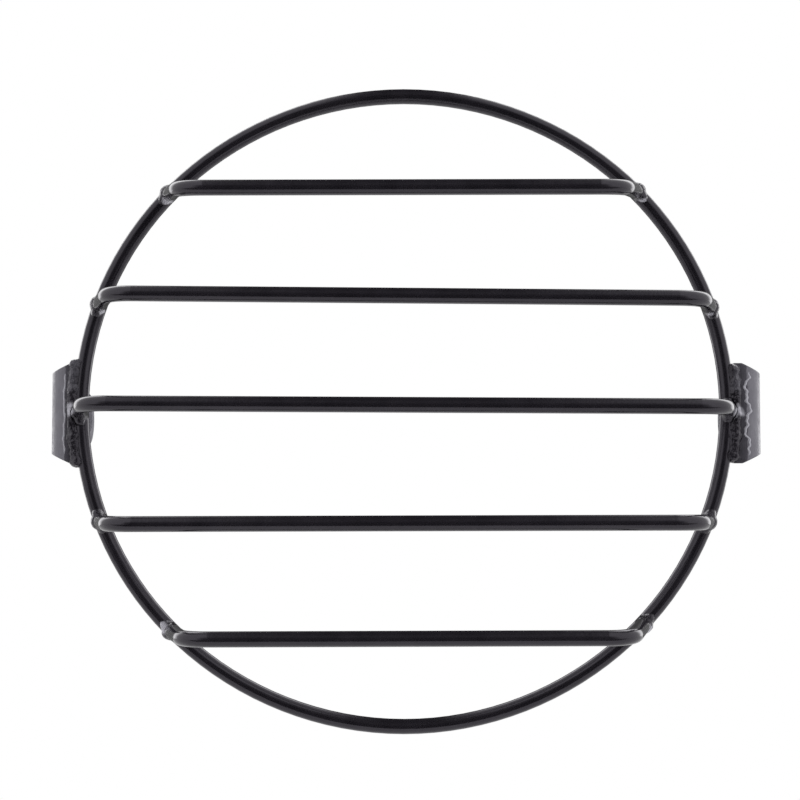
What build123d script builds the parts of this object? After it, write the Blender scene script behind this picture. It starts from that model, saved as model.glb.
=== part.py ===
from build123d import *
import math
import os
from collections import namedtuple

# Motorcycle headlight guard: a round hoop of steel rod, five bent rod bars welded across
# its front, and a bent, drilled bracket welded to each side.
# Millimetres. +X is the guard's right as seen from the front, -Y is the front, +Z is up.
# The origin is the middle of the line through the two bracket holes.

# Rod and hoop. The hoop is a little wider than it is high, and its middle is a little
# above and to the left of the middle of the holes. Everything is drawn about the hoop's
# middle and moved into place at the end.
ROD_RADIUS = 2.0
HOOP_HALF_WIDTH = 86.5
HOOP_HALF_HEIGHT = 84.5
HOOP_TO_HOLES = 44.0
HOOP_RISE = 1.3
HOOP_SHIFT = -0.55
HOOP_Y = -HOOP_TO_HOLES

# Bars. Each one stands in front of the hoop and its two legs run back to it.
BAR_STANDOFF = 25.0
BAR_Y = HOOP_Y - BAR_STANDOFF
BAR_BEND_RADIUS = 8.0
SEAT_OUTSET = 0.35
LEG_END_SHORT_OF_HOOP_PLANE = 0.8

# Each end of a bar: where its straight run and its leg would meet without the bend,
# and the height at which the leg is seated on the hoop.
End = namedtuple("End", "corner_x corner_z seat_z")
Bar = namedtuple("Bar", "name left right")
BARS = (
    Bar("bar_top", End(57.2, 55.0, 57.6), End(56.0, 55.2, 58.2)),
    Bar("bar_upper", End(75.0, 28.1, 27.7), End(75.7, 26.8, 27.0)),
    Bar("bar_middle", End(81.4, 0.2, -1.3), End(81.3, -0.6, -0.5)),
    Bar("bar_lower", End(74.5, -30.2, -30.0), End(74.9, -29.8, -30.1)),
    Bar("bar_bottom", End(55.1, -59.0, -59.0), End(57.3, -58.6, -57.2)),
)

# Brackets, cut from strip and bent back through a quarter turn. The base's straight end
# is let into the hoop's side a little; above and below that a wedge-shaped gap is left.
STRIP_THICKNESS = 2.0
COPE_DEPTH = 0.15
BRACKET_HALF_SPAN = 95.85
BRACKET_BEND_RADIUS = 6.0
BASE_HALF_HEIGHT = 13.4
ARM_HALF_HEIGHT = 10.7
ARM_END_RADIUS = 7.5
HOLE_RADIUS = 4.25
BEND_SECTIONS = 5

# Welds. A leg's weld is a collar round its foot with a lump on the hoop above and below.
COLLAR_RADIUS = 2.5
COLLAR_SETBACK = 1.3
LUMP_RADIUS = 1.35
LUMP_SPACING = 2.3
LUMP_SETBACK = 1.7
LUMP_INSET = 0.15

# A bracket's weld is a bead in front and a thinner one behind, each rippled by drops.
# The bead on the left runs out further than the one on the right.
Bead = namedtuple("Bead", "outset setback radius ripple_radius ripples")
FRONT_BEAD = Bead(2.2, 1.0, 1.6, 1.85, 5)
REAR_BEAD = Bead(2.2, -1.0, 1.3, 1.5, 4)
BEAD_HALF_HEIGHT = {-1: 12.8, 1: 11.4}
RIPPLE_UNEVENNESS = 0.06
DROP_TILT = Rot(17, 33, 71)

# The hoop's oval is four tangent arcs, which meet where their shared normal is at 45 degrees.
ARC_RADIUS_GAP = (HOOP_HALF_WIDTH - HOOP_HALF_HEIGHT) / (math.sqrt(2) - 1)
ARC_CENTRE_OFFSET = ARC_RADIUS_GAP / math.sqrt(2)
SIDE_ARC_RADIUS = HOOP_HALF_WIDTH - ARC_CENTRE_OFFSET
TOP_ARC_RADIUS = HOOP_HALF_HEIGHT + ARC_CENTRE_OFFSET


def hoop_point(height):
    """X of the hoop's centre line on the right at a height, and its outward normal there."""
    if abs(height) <= SIDE_ARC_RADIUS * math.sin(math.radians(45)):
        reach = math.sqrt(SIDE_ARC_RADIUS**2 - height**2)
        return ARC_CENTRE_OFFSET + reach, reach / SIDE_ARC_RADIUS, height / SIDE_ARC_RADIUS
    rise = abs(height) + ARC_CENTRE_OFFSET
    reach = math.sqrt(TOP_ARC_RADIUS**2 - rise**2)
    return reach, reach / TOP_ARC_RADIUS, math.copysign(rise / TOP_ARC_RADIUS, height)


def hoop_arc(centre_x, centre_z, radius, middle_angle):
    """A quarter of the hoop: the rod's section turned about one arc's own centre."""
    start = math.radians(middle_angle - 45)
    section_plane = Plane(
        origin=(centre_x + radius * math.cos(start), HOOP_Y, centre_z + radius * math.sin(start)),
        x_dir=(math.cos(start), 0, math.sin(start)),
        z_dir=(-math.sin(start), 0, math.cos(start)),
    )
    axis = Axis((centre_x, HOOP_Y, centre_z), (0, -1, 0))
    return revolve(section_plane * Circle(ROD_RADIUS), axis, 90)


def make_hoop():
    """The hoop as one closed rod."""
    return (
        hoop_arc(ARC_CENTRE_OFFSET, 0, SIDE_ARC_RADIUS, 0)
        + hoop_arc(0, -ARC_CENTRE_OFFSET, TOP_ARC_RADIUS, 90)
        + hoop_arc(-ARC_CENTRE_OFFSET, 0, SIDE_ARC_RADIUS, 180)
        + hoop_arc(0, ARC_CENTRE_OFFSET, TOP_ARC_RADIUS, 270)
    )


def leg_points(end, side):
    """A bar end's corner, the end of its leg, and the seat's normal, on side -1 or +1."""
    x, normal_x, normal_z = hoop_point(end.seat_z)
    seat = Vector(
        side * (x + SEAT_OUTSET * normal_x),
        HOOP_Y,
        end.seat_z + SEAT_OUTSET * normal_z,
    )
    corner = Vector(side * end.corner_x, BAR_Y, end.corner_z)
    leg = seat - corner
    tip = seat - leg * (LEG_END_SHORT_OF_HOOP_PLANE / BAR_STANDOFF)
    return corner, tip, Vector(side * normal_x, 0, normal_z)


def make_bar(bar, hoop):
    """One rod bent back at both ends, its legs coped to sit on the hoop."""
    left_corner, left_tip, _ = leg_points(bar.left, -1)
    right_corner, right_tip, _ = leg_points(bar.right, 1)
    path = FilletPolyline(left_tip, left_corner, right_corner, right_tip, radius=BAR_BEND_RADIUS)
    section = Plane(origin=path @ 0, z_dir=path % 0) * Circle(ROD_RADIUS)
    return sweep(section, path=path) - hoop


def weld_drop(centre, radius):
    """A round drop of weld metal."""
    return Pos(*centre) * DROP_TILT * Sphere(radius)


def make_leg_weld(end, side, bar, hoop):
    """The weld round a leg's foot: a collar, and a lump above and below it on the hoop."""
    _, tip, normal = leg_points(end, side)
    along = Vector(-normal.Z, 0, normal.X)
    foot = Vector(tip.X, HOOP_Y, tip.Z)
    between_lumps = foot - normal * LUMP_INSET - Vector(0, LUMP_SETBACK, 0)
    return (
        weld_drop(foot - Vector(0, COLLAR_SETBACK, 0), COLLAR_RADIUS)
        + weld_drop(between_lumps + along * LUMP_SPACING, LUMP_RADIUS)
        + weld_drop(between_lumps - along * LUMP_SPACING, LUMP_RADIUS)
        - (bar + hoop)
    )


def strip_section(turn, half_height):
    """The strip's section part way round its bend, turn in degrees from the base."""
    angle = math.radians(turn)
    middle = BRACKET_BEND_RADIUS - STRIP_THICKNESS / 2
    centre_x = BRACKET_HALF_SPAN - BRACKET_BEND_RADIUS
    centre_y = HOOP_Y + middle
    plane = Plane(
        origin=(centre_x + middle * math.sin(angle), centre_y - middle * math.cos(angle), 0),
        x_dir=(math.sin(angle), -math.cos(angle), 0),
        z_dir=(math.cos(angle), math.sin(angle), 0),
    )
    return plane * Rectangle(STRIP_THICKNESS, 2 * half_height)


def arm_outline(start_y):
    """The arm from the side: straight edges that run in to a round end about the hole."""
    reach = math.hypot(start_y, ARM_HALF_HEIGHT)
    corner_angle = math.atan2(ARM_HALF_HEIGHT, start_y)
    tangent_angle = corner_angle - math.acos(ARM_END_RADIUS / reach)
    tangent_y = ARM_END_RADIUS * math.cos(tangent_angle)
    tangent_z = ARM_END_RADIUS * math.sin(tangent_angle)
    edges = [
        Line((tangent_y, -tangent_z), (start_y, -ARM_HALF_HEIGHT)),
        Line((start_y, -ARM_HALF_HEIGHT), (start_y, ARM_HALF_HEIGHT)),
        Line((start_y, ARM_HALF_HEIGHT), (tangent_y, tangent_z)),
        ThreePointArc((tangent_y, tangent_z), (ARM_END_RADIUS, 0), (tangent_y, -tangent_z)),
    ]
    return make_face(edges)


def make_bracket_blank():
    """The right bracket before it is coped: base, tapering bend, and arm with a round end."""
    bend_x = BRACKET_HALF_SPAN - BRACKET_BEND_RADIUS
    arm_y = HOOP_Y - STRIP_THICKNESS / 2 + BRACKET_BEND_RADIUS
    base_length = bend_x - HOOP_HALF_WIDTH
    base = Pos(bend_x - base_length / 2, HOOP_Y, 0) * Box(
        base_length, STRIP_THICKNESS, 2 * BASE_HALF_HEIGHT
    )
    sections = []
    for number in range(BEND_SECTIONS):
        turn = 90 * number / (BEND_SECTIONS - 1)
        share = math.sin(math.radians(turn))
        half_height = BASE_HALF_HEIGHT + share * (ARM_HALF_HEIGHT - BASE_HALF_HEIGHT)
        sections.append(strip_section(turn, half_height))
    bend = loft(sections)
    arm = extrude(Plane.YZ.offset(BRACKET_HALF_SPAN) * arm_outline(arm_y), -STRIP_THICKNESS)
    hole = Pos(BRACKET_HALF_SPAN, 0, 0) * Rot(0, 90, 0) * Cylinder(HOLE_RADIUS, 4 * STRIP_THICKNESS)
    return base + bend + arm - hole


def bead_point(bead, side, angle):
    """A point on a bead's line: an arc outside the hoop's side, angle in radians."""
    radius = SIDE_ARC_RADIUS + bead.outset
    x = ARC_CENTRE_OFFSET + radius * math.cos(angle)
    return Vector(side * x, HOOP_Y - bead.setback, radius * math.sin(angle))


def make_bead(bead, side):
    """One bead beside the hoop: a bent rod of weld metal with drops along it for ripples."""
    radius = SIDE_ARC_RADIUS + bead.outset
    middle = math.asin(-HOOP_RISE / radius)
    reach = math.asin(BEAD_HALF_HEIGHT[side] / radius)
    start = middle - reach
    section_plane = Plane(
        origin=bead_point(bead, 1, start),
        x_dir=(math.cos(start), 0, math.sin(start)),
        z_dir=(-math.sin(start), 0, math.cos(start)),
    )
    axis = Axis((ARC_CENTRE_OFFSET, 0, 0), (0, -1, 0))
    metal = revolve(section_plane * Circle(bead.radius), axis, math.degrees(2 * reach))
    if side < 0:
        metal = mirror(metal, about=Plane.YZ)
    for number in range(bead.ripples):
        angle = start + 2 * reach * number / (bead.ripples - 1)
        swing = math.sin(2.3 * number) + 0.6 * math.sin(1.1 * number + 1)
        size = bead.ripple_radius * (1 + RIPPLE_UNEVENNESS * swing)
        metal = metal + weld_drop(bead_point(bead, side, angle), size)
    return metal


def make_bracket_weld(side, neighbours):
    """The beads that join a bracket's base to the hoop, in front and behind."""
    welded = neighbours[0]
    for piece in neighbours[1:]:
        welded = welded + piece
    return make_bead(FRONT_BEAD, side) + make_bead(REAR_BEAD, side) - welded


def build():
    """Every piece of the guard by name."""
    hoop = make_hoop()
    parts = {"hoop": hoop}
    for bar in BARS:
        parts[bar.name] = make_bar(bar, hoop)
        for side, end, word in ((-1, bar.left, "left"), (1, bar.right, "right")):
            weld = make_leg_weld(end, side, parts[bar.name], hoop)
            parts[f"weld_{bar.name}_{word}"] = weld
    blank = make_bracket_blank()
    to_holes = Pos(-HOOP_SHIFT, 0, -HOOP_RISE)
    trimmed_width = 2 * (HOOP_HALF_WIDTH + ROD_RADIUS - COPE_DEPTH)
    trim = Pos(0, HOOP_Y, 0) * Box(trimmed_width, 2 * STRIP_THICKNESS, 4 * BASE_HALF_HEIGHT)
    for side, word in ((-1, "left"), (1, "right")):
        whole = to_holes * (blank if side > 0 else mirror(blank, about=Plane.YZ)) - trim
        leg_weld = parts[f"weld_bar_middle_{word}"]
        bracket = whole - (hoop + parts["bar_middle"] + leg_weld)
        parts[f"bracket_{word}"] = bracket
        neighbours = (hoop, bracket, parts["bar_middle"], leg_weld)
        parts[f"weld_bracket_{word}"] = make_bracket_weld(side, neighbours)
    return parts


os.makedirs("parts", exist_ok=True)
for name, part in build().items():
    placed = Pos(HOOP_SHIFT, 0, HOOP_RISE) * part
    placed.label = name
    export_step(placed, f"parts/{name}.step")
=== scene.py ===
import math

import bmesh
import bpy
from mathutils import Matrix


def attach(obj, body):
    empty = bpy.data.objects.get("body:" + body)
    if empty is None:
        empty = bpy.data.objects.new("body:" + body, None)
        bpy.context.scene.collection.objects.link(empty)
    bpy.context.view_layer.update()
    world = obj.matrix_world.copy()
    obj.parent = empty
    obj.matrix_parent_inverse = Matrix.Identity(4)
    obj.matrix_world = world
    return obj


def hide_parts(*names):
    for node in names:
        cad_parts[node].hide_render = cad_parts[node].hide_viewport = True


# Motorcycle headlight guard of welded steel rod, painted gloss black, in a white studio.
# Metres, in the row's frame: -Y is the guard's front and +Z is up.

SIDES = {-1: "left", 1: "right"}

# Camera, fitted to the oval of the hoop in the photograph.
HOOP_Y = -0.044
CAMERA_DISTANCE = 0.417
CAMERA_X = -0.00025
CAMERA_Z = -0.0173
CAMERA_PITCH = 0.05
CAMERA_YAW = 0.0032
CAMERA_REACH = (0.01, 50.0)
FOCAL_IN_PIXELS = 1557.1
PICTURE_WIDTH_IN_PIXELS = 800
SENSOR_WIDTH_MM = 36.0

# A white table, whose front edge is nearer the camera than the guard is.
FLOOR_Z = -0.32
FLOOR_HALF_WIDTH = 6.0
FLOOR_FRONT_Y = -0.50
FLOOR_BACK_Y = 1.2
FLOOR_MATT = (0.85, 0.85, 0.85, 1.0)
WHITE = (1.0, 1.0, 1.0, 1.0)

# The guard mirrors the room round it: white walls at the sides, a bright window far back on
# each side, dusk straight behind, a dark strip overhead, and a faint glow high up in a room
# that is dark behind the camera.
DARK_RADIANCE = 0.03
WALL_RADIANCE = 1.1
WINDOW_RADIANCE = 2.2
GLOW_RADIANCE = 0.12
DUSK_SHARE = 0.05

# Where each of them begins and is full, in the X, Y or Z of a direction of length 1. X is
# squared, because the room is the same on its left and right.
WALLS_Y = (-0.95, -0.74)
WALLS_Z = (-0.3, -0.1)
STRIP_EDGE_XX = (0.006, 0.045)
STRIP_Z = (0.1, 0.35)
WINDOW_Y = (0.42, 0.58)
WINDOW_XX = (0.01, 0.06)
DUSK_Y = (0.74, 0.85)
GLOW_Z = (0.2, 0.6)
GLOW_END_Y = (-0.8, -0.3)

# Two square soft lights high at the front corners; the right one is stronger.
SOFTBOX_PLACE = (1.3, -1.2, 0.9)
SOFTBOX_SIZE = 0.9
SOFTBOX_POWER = {-1: 5.0, 1: 14.0}

# Paint: a plain colour and the dusty one that it is mottled with.
BLACK = ((0.0085, 0.0075, 0.0100, 1.0), (0.0135, 0.0120, 0.0155, 1.0))
GREY = ((0.115, 0.112, 0.128, 1.0), (0.150, 0.147, 0.165, 1.0))
# A painted highlight: the pale of the glints on the welds and of the bright line on each
# weld's raised edge.
PAINTED_HIGHLIGHT = (0.34, 0.335, 0.37, 1.0)
# Painted shade inboard of a bracket weld's raised edge, and a grey that is less dark above a
# height.
DARK_PAINTED_SHADE = (0.040, 0.038, 0.046, 1.0)
GREY_TONE = (0.050, 0.048, 0.057, 1.0)
SHEEN_TINT = (0.93, 0.88, 1.0, 1.0)
PAINT_IOR = 1.5
DULLNESS_RANGE = (0.75, 1.35)
BEVEL_SAMPLES = 6

# Noises for the unevenness in the paint, from broad to fine. Each has its features per
# metre and its detail, and nearly all its values lie in the one span.
MOTTLE = (160.0, 3.0)
WANDER = (300.0, 3.0)
DULLNESS = (420.0, 4.0)
SWELLING = (700.0, 2.0)
ORANGE_PEEL = (1500.0, 2.0)
NOISE_SPAN = (0.3, 0.7)

# Painted shade round a bracket's weld: dark inboard of its raised edge, and greyer above a
# height, on the weld itself only outboard of the hoop.
SHADE_SOFTNESS_X = 0.0001
GREY_ABOVE_Z = (0.0045, 0.0065)
GREY_BEYOND_X = (0.0868, 0.0880)
SHADE_WANDER = 0.0002
SPOT_WANDER = 0.0010

# Painted glints: pale spots beside the tips of every bar but the lower one, each with its
# distance from the guard's middle, its height and its radius, and how much of its area is
# full.
GLINT_SPOTS = (
    (0.0895, 0.0010, 0.0022),
    (0.0642, -0.0574, 0.0020),
    (0.0637, 0.0566, 0.0015),
    (0.0812, 0.0268, 0.0012),
)
SPOT_FULL_SHARE = 0.3

# Weld metal: a weld's drops are melted together with the pieces that they join, so that the
# metal runs out thinly over them, then roughened by lumps of two sizes.
WELD_VOXEL = 0.00016
LEG_WELD_PASSES = 60
LEG_WELD_LUMP = 0.00022
LEG_WELD_GRAIN = 0.00004
BRACKET_WELD_PASSES = 12
BRACKET_WELD_LUMP = 0.0006
BRACKET_WELD_GRAIN = 0.0002
LUMP_SIZE = 0.0016
GRAIN_SIZE = 0.0006
SUNK_SHARE = 0.65
MERGE_DISTANCE = 1e-7

# Where a bracket's weld ran out on the bend it left a thin raised edge, the toe, nearly
# straight on the left and wavy on the right. Its waves, ripples and bulges are sines of its
# height, which counts from -1 at its lower end to 1 at its upper end.
BEND_RADIUS = 0.006
BEND_CENTRE = (0.08985, -0.039)
TOE_X = {-1: 0.0914, 1: 0.0913}
TOE_HALF_HEIGHT = 0.0118
TOE_RADIUS = {-1: 0.00038, 1: 0.00050}
TOE_SUNK = 0.0002
TOE_SWING = {-1: 0.00012, 1: 0.00055}
TOE_WAVE = 7.1
TOE_RIPPLES = ((0.6, 17.3), (0.3, 41.0))
TOE_BULGE = (0.15, 23.0, 2.0)
TOE_STEPS = 120
TOE_SIDES = 10

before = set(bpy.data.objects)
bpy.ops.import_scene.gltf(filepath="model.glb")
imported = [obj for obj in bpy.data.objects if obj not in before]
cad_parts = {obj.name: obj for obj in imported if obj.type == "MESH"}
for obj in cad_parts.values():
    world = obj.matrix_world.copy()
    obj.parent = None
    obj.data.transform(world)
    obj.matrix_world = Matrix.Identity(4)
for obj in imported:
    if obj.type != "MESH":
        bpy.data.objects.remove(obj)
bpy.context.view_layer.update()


class Shading:
    """The nodes of a material or of the world, built up by a few steps."""

    def __init__(self, tree):
        self.nodes, self.links = tree.nodes, tree.links
        self.nodes.clear()

    def feed(self, socket, value):
        """Set a socket to a number or colour, or join it to another node's output."""
        if isinstance(value, bpy.types.NodeSocket):
            self.links.new(value, socket)
        else:
            socket.default_value = value

    def add(self, kind, inputs=None, **settings):
        """A new node with its settings made and its inputs fed, by name or number."""
        node = self.nodes.new(f"ShaderNode{kind}")
        for name, value in settings.items():
            setattr(node, name, value)
        for name, value in (inputs or {}).items():
            self.feed(node.inputs[name], value)
        return node

    def split(self, coordinates):
        """The X, Y and Z of an object's own coordinates, or of a direction in the world."""
        place = self.add("TexCoord").outputs[coordinates]
        return self.add("SeparateXYZ", {"Vector": place}).outputs

    def noise(self, unevenness):
        """A noise in the row's own frame, from its features per metre and its detail."""
        scale, detail = unevenness
        place = self.add("TexCoord").outputs["Object"]
        settings = {"Vector": place, "Scale": scale, "Detail": detail}
        return self.add("TexNoise", settings).outputs["Fac"]

    def spread(self, value, low, high, span=NOISE_SPAN):
        """A value stretched from a span, by default a noise's, to the range low to high."""
        ranges = {"From Min": span[0], "From Max": span[1], "To Min": low, "To Max": high}
        return self.add("MapRange", {"Value": value} | ranges).outputs["Result"]

    def rise(self, value, span):
        """0 before a span of the value and 1 after it."""
        return self.spread(value, 0.0, 1.0, span)

    def fall(self, value, span):
        """1 before a span of the value and 0 after it."""
        return self.spread(value, 1.0, 0.0, span)

    def combine(self, operation, first, second=0.0):
        """Two values joined by a sum, a product or another operation of the Math node."""
        return self.add("Math", {0: first, 1: second}, operation=operation).outputs["Value"]

    def blend(self, share, first, second):
        """Two colours mixed: the first where share is 0, the second where it is 1."""
        mix = self.add("Mix", {"Factor": share, "A": first, "B": second}, data_type="RGBA")
        return mix.outputs["Result"]

    def swap(self, share, first, second):
        """Two shaders mixed: the first where share is 0, the second where it is 1."""
        return self.add("MixShader", {0: share, 1: first, 2: second}).outputs["Shader"]

    def bump(self, height, depth, normal=None):
        """A relief of a real depth in metres, over another normal if there is one."""
        relief = self.add("Bump", {"Strength": 1.0, "Distance": depth, "Height": height})
        if normal is not None:
            self.feed(relief.inputs["Normal"], normal)
        return relief.outputs["Normal"]

    def aside_and_height(self, wander):
        """A point's distance from the guard's middle in X, and its height, both wandering."""
        place = self.split("Object")
        shift = self.spread(self.noise(WANDER), -wander, wander)
        aside = self.combine("ABSOLUTE", place["X"])
        return self.combine("ADD", aside, shift), self.combine("ADD", place["Z"], shift)


def new_material(name):
    """An empty material and the shading that fills it."""
    material = bpy.data.materials.new(name)
    material.use_nodes = True
    return material, Shading(material.node_tree)


def painted_glints(shading, colour):
    """The colour with a painted glint, a pale spot, beside each tip of every bar but the lower
    one.
    """
    aside, height = shading.aside_and_height(SPOT_WANDER)
    for x, z, radius in GLINT_SPOTS:
        off_x = shading.combine("ADD", aside, -x)
        off_z = shading.combine("ADD", height, -z)
        off_x = shading.combine("MULTIPLY", off_x, off_x)
        off_z = shading.combine("MULTIPLY", off_z, off_z)
        distance = shading.combine("ADD", off_x, off_z)
        spot = shading.fall(distance, (SPOT_FULL_SHARE * radius**2, radius**2))
        colour = shading.blend(spot, colour, PAINTED_HIGHLIGHT)
    return colour


def bracket_painted_shade(shading, colour):
    """Painted shade: a bracket's paint is darker inboard of the weld's raised edge, least so
    at the top.
    """
    aside, height = shading.aside_and_height(SHADE_WANDER)
    edge = (TOE_X[1] - SHADE_SOFTNESS_X, TOE_X[1] + SHADE_SOFTNESS_X)
    inboard = shading.fall(aside, edge)
    above = shading.rise(height, GREY_ABOVE_Z)
    painted_light = painted_glints(shading, shading.blend(above, DARK_PAINTED_SHADE, GREY_TONE))
    return shading.blend(inboard, colour, painted_light)


def weld_grey_and_glints(shading, colour):
    """A bracket's weld is greyer at the top, away from the hoop, and has painted glints, pale
    spots.
    """
    aside, height = shading.aside_and_height(SPOT_WANDER)
    outboard = shading.rise(aside, GREY_BEYOND_X)
    above = shading.rise(height, GREY_ABOVE_Z)
    grey = shading.combine("MULTIPLY", outboard, above)
    return painted_glints(shading, shading.blend(grey, colour, GREY_TONE))


def paint(name, colours, roughness, peel, lumps=0.0, edge_radius=0.0, painted_light=None):
    """A coat of paint with orange peel, mottling, dull patches and maybe painted shade and
    glints.

    The depths of the orange peel and of the lumps under it are in metres, and so is the
    radius to which sharp edges are rounded in the shading.
    """
    material, shading = new_material(name)
    mottling = shading.spread(shading.noise(MOTTLE), 0.0, 1.0)
    colour = shading.blend(mottling, *colours)
    # Painted shade and painted glints, in the materials that have them.
    if painted_light:
        colour = painted_light(shading, colour)
    dull = [roughness * share for share in DULLNESS_RANGE]
    dullness = shading.spread(shading.noise(DULLNESS), *dull)
    normal = None
    if edge_radius:
        rounded = shading.add("Bevel", {"Radius": edge_radius}, samples=BEVEL_SAMPLES)
        normal = rounded.outputs["Normal"]
    if lumps:
        normal = shading.bump(shading.noise(SWELLING), lumps, normal)
    normal = shading.bump(shading.noise(ORANGE_PEEL), peel, normal)
    coat = shading.add(
        "BsdfPrincipled",
        {
            "Base Color": colour,
            "Roughness": dullness,
            "IOR": PAINT_IOR,
            "Specular Tint": SHEEN_TINT,
            "Normal": normal,
        },
    )
    shading.add("OutputMaterial", {"Surface": coat.outputs["BSDF"]})
    return material


def new_piece(name, mesh):
    """An object for a mesh, in the scene."""
    piece = bpy.data.objects.new(name, mesh)
    bpy.context.scene.collection.objects.link(piece)
    return piece


def roughen(piece, name, size, depth):
    """Lumps of one size all over a piece, more of their depth below the surface than above."""
    texture = bpy.data.textures.new(f"{piece.name}_{name}", "CLOUDS")
    texture.noise_scale = size
    displace = piece.modifiers.new(name, "DISPLACE")
    displace.texture = texture
    displace.texture_coords = "GLOBAL"
    displace.mid_level = SUNK_SHARE
    displace.strength = depth


def cut_to_box(form, low, high):
    """Trim a closed form to a box and close the cuts."""
    for axis in range(3):
        for limit, sign in ((low, -1), (high, 1)):
            outward = [0.0, 0.0, 0.0]
            outward[axis] = float(sign)
            cut = bmesh.ops.bisect_plane(
                form,
                geom=form.verts[:] + form.edges[:] + form.faces[:],
                plane_co=limit,
                plane_no=outward,
                clear_outer=True,
            )
            rim = [item for item in cut["geom_cut"] if isinstance(item, bmesh.types.BMEdge)]
            bmesh.ops.holes_fill(form, edges=rim)


def merged_mesh(name, weld, neighbours):
    """The weld with the parts of its neighbours that lie in its own box, as one mesh."""
    corners = [vertex.co for vertex in weld.data.vertices]
    low = [min(corner[axis] for corner in corners) for axis in range(3)]
    high = [max(corner[axis] for corner in corners) for axis in range(3)]
    mesh = bpy.data.meshes.new(name)
    together = bmesh.new()
    together.from_mesh(weld.data)
    for neighbour in neighbours:
        form = bmesh.new()
        form.from_mesh(neighbour.data)
        bmesh.ops.remove_doubles(form, verts=form.verts, dist=MERGE_DISTANCE)
        cut_to_box(form, low, high)
        form.to_mesh(mesh)
        form.free()
        together.from_mesh(mesh)
    together.to_mesh(mesh)
    together.free()
    return mesh


def make_bead(name, nodes, material):
    """A weld's drops melted on to the pieces they join, in the node's own place."""
    joined = name.removeprefix("weld_").rsplit("_", 1)[0]
    if joined == "bracket":
        neighbours = [nodes["hoop"], nodes[name.removeprefix("weld_")]]
        passes, lump, grain = BRACKET_WELD_PASSES, BRACKET_WELD_LUMP, BRACKET_WELD_GRAIN
    else:
        neighbours = [nodes["hoop"], nodes[joined]]
        passes, lump, grain = LEG_WELD_PASSES, LEG_WELD_LUMP, LEG_WELD_GRAIN
    mesh = merged_mesh(f"{name}_bead", nodes[name], neighbours)
    mesh.materials.append(material)
    piece = new_piece(f"{name}_bead", mesh)
    melt = piece.modifiers.new("melt", "REMESH")
    melt.mode = "VOXEL"
    melt.voxel_size = WELD_VOXEL
    melt.use_smooth_shade = True
    flow = piece.modifiers.new("flow", "SMOOTH")
    flow.iterations = passes
    roughen(piece, "lumps", LUMP_SIZE, lump)
    roughen(piece, "grain", GRAIN_SIZE, grain)
    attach(piece, "root")
    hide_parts(name)


def toe_rings(side):
    """The middle and radius of each ring of a toe, from its lower end to its upper end."""
    reach = BEND_RADIUS - TOE_SUNK
    bulge, bulges, first_bulge = TOE_BULGE
    for step in range(TOE_STEPS + 1):
        share = 2 * step / TOE_STEPS - 1
        wave = math.sin(TOE_WAVE * share + side)
        wave += sum(height * math.sin(turns * share) for height, turns in TOE_RIPPLES)
        x = TOE_X[side] + TOE_SWING[side] * wave
        y = BEND_CENTRE[1] - math.sqrt(reach**2 - (x - BEND_CENTRE[0]) ** 2)
        taper = math.sqrt(max(0.0, 1 - share**4))
        thicker = 1 + bulge * math.sin(bulges * share + first_bulge) * abs(wave)
        yield side * x, y, TOE_HALF_HEIGHT * share, TOE_RADIUS[side] * taper * thicker


def make_toe(side, material):
    """The thin raised edge of a bracket's weld, as a ridge up the outside of the bend."""
    corners = []
    for x, y, z, radius in toe_rings(side):
        for number in range(TOE_SIDES):
            angle = math.tau * number / TOE_SIDES
            corners.append((x + radius * math.cos(angle), y + radius * math.sin(angle), z))
    faces = []
    for low in range(0, TOE_STEPS * TOE_SIDES, TOE_SIDES):
        high = low + TOE_SIDES
        for number in range(TOE_SIDES):
            after = (number + 1) % TOE_SIDES
            faces.append((low + number, low + after, high + after, high + number))
    mesh = bpy.data.meshes.new(f"weld_toe_{SIDES[side]}")
    mesh.from_pydata(corners, [], faces)
    for face in mesh.polygons:
        face.use_smooth = True
    mesh.materials.append(material)
    toe = new_piece(f"weld_toe_{SIDES[side]}", mesh)
    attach(toe, "root")


def dress_nodes(nodes):
    """Rods and brackets keep their solids and get paint; each weld gets a rough bead."""
    rod_paint = paint("rod_paint", BLACK, roughness=0.13, peel=0.000012)
    bracket_paint = paint(
        "bracket_paint",
        GREY,
        roughness=0.4,
        peel=0.00002,
        lumps=0.00008,
        edge_radius=0.0006,
        painted_light=bracket_painted_shade,
    )
    weld_coat = {"colours": BLACK, "roughness": 0.20, "peel": 0.00003, "lumps": 0.00035}
    weld_paint = paint("weld_paint", painted_light=painted_glints, **weld_coat)
    bracket_weld_paint = paint("bracket_weld_paint", painted_light=weld_grey_and_glints, **weld_coat)
    # The raised edge's pale colour is a painted highlight: the bright line along each bracket
    # weld.
    toe_highlight = paint("weld_toe_highlight", (PAINTED_HIGHLIGHT, PAINTED_HIGHLIGHT), roughness=0.25, peel=0.00003)
    for side in SIDES:
        make_toe(side, toe_highlight)
    for name, node in nodes.items():
        material = rod_paint
        if name.startswith("bracket"):
            material = bracket_paint
        if name.startswith("weld"):
            material = bracket_weld_paint if "bracket" in name else weld_paint
            make_bead(name, nodes, material)
        node.data.materials.clear()
        node.data.materials.append(material)


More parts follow.
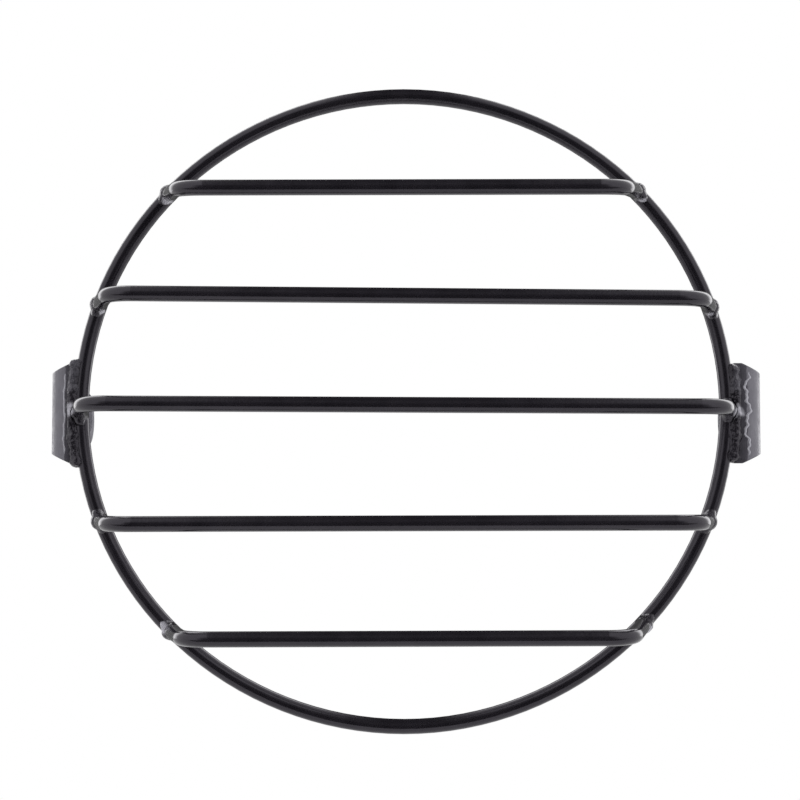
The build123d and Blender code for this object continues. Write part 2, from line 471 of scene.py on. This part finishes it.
def make_floor():
    """A white table well below the guard, which hangs from its bracket holes.

    It is plain white where the camera sees it, straight or mirrored in the paint, and matt
    for all other light.
    """
    corners = [
        (-FLOOR_HALF_WIDTH, FLOOR_FRONT_Y, FLOOR_Z),
        (FLOOR_HALF_WIDTH, FLOOR_FRONT_Y, FLOOR_Z),
        (FLOOR_HALF_WIDTH, FLOOR_BACK_Y, FLOOR_Z),
        (-FLOOR_HALF_WIDTH, FLOOR_BACK_Y, FLOOR_Z),
    ]
    mesh = bpy.data.meshes.new("floor")
    mesh.from_pydata(corners, [], [(0, 1, 2, 3)])
    material, shading = new_material("floor_white")
    path = shading.add("LightPath").outputs
    seen = shading.combine("MAXIMUM", path["Is Camera Ray"], path["Is Glossy Ray"])
    matt = shading.add("BsdfDiffuse", {"Color": FLOOR_MATT}).outputs["BSDF"]
    white = shading.add("Emission", {"Color": WHITE}).outputs["Emission"]
    shading.add("OutputMaterial", {"Surface": shading.swap(seen, matt, white)})
    mesh.materials.append(material)
    floor = new_piece("floor", mesh)


def make_world():
    """Plain white to the camera, and to all other light the room that the guard mirrors."""
    world = bpy.data.worlds.new("studio")
    bpy.context.scene.world = world
    world.use_nodes = True
    shading = Shading(world.node_tree)
    direction = shading.split("Generated")
    x, y, z = (direction[axis] for axis in "XYZ")
    xx = shading.combine("MULTIPLY", x, x)
    beside_strip = shading.rise(xx, STRIP_EDGE_XX)
    below_strip = shading.fall(z, STRIP_Z)
    walls = shading.combine("MAXIMUM", beside_strip, below_strip)
    walls = shading.combine("MULTIPLY", walls, shading.rise(y, WALLS_Y))
    walls = shading.combine("MULTIPLY", walls, shading.rise(z, WALLS_Z))
    walls = shading.combine("MULTIPLY", walls, WALL_RADIANCE)
    window = shading.spread(xx, 0.0, WINDOW_RADIANCE, WINDOW_XX)
    window = shading.combine("MULTIPLY", window, shading.rise(y, WINDOW_Y))
    bright = shading.combine("ADD", walls, window)
    dusk = shading.spread(y, 1.0, DUSK_SHARE, DUSK_Y)
    bright = shading.combine("MULTIPLY", bright, dusk)
    glow = shading.spread(z, 0.0, GLOW_RADIANCE, GLOW_Z)
    glow = shading.combine("MULTIPLY", glow, shading.fall(y, GLOW_END_Y))
    lit = shading.combine("MAXIMUM", bright, glow)
    lit = shading.combine("ADD", lit, DARK_RADIANCE)
    room = shading.add("Background", {"Color": WHITE, "Strength": lit}).outputs["Background"]
    white = shading.add("Background", {"Color": WHITE}).outputs["Background"]
    seen = shading.add("LightPath").outputs["Is Camera Ray"]
    shading.add("OutputWorld", {"Surface": shading.swap(seen, room, white)})


def make_lights():
    """The soft lights, which face the guard and aren't mirrored in the paint."""
    for side, word in SIDES.items():
        data = bpy.data.lights.new(f"softbox_{word}", "AREA")
        data.size = SOFTBOX_SIZE
        data.energy = SOFTBOX_POWER[side]
        light = bpy.data.objects.new(f"softbox_{word}", data)
        light.location = (side * SOFTBOX_PLACE[0], *SOFTBOX_PLACE[1:])
        light.rotation_euler = (-light.location).to_track_quat("-Z", "Y").to_euler()
        light.visible_glossy = False
        bpy.context.scene.collection.objects.link(light)


def make_camera():
    """The photograph's viewpoint: square on, a little below the middle, tipped up slightly."""
    data = bpy.data.cameras.new("camera")
    data.sensor_width = SENSOR_WIDTH_MM
    data.lens = FOCAL_IN_PIXELS / PICTURE_WIDTH_IN_PIXELS * SENSOR_WIDTH_MM
    data.clip_start, data.clip_end = CAMERA_REACH
    camera = bpy.data.objects.new("camera", data)
    camera.location = (CAMERA_X, HOOP_Y - CAMERA_DISTANCE, CAMERA_Z)
    camera.rotation_euler = (math.radians(90) + CAMERA_PITCH, 0.0, CAMERA_YAW)
    bpy.context.scene.collection.objects.link(camera)
    bpy.context.scene.camera = camera


dress_nodes(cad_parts)
make_floor()
make_world()
make_lights()
make_camera()
bpy.context.scene.view_settings.view_transform = "Standard"
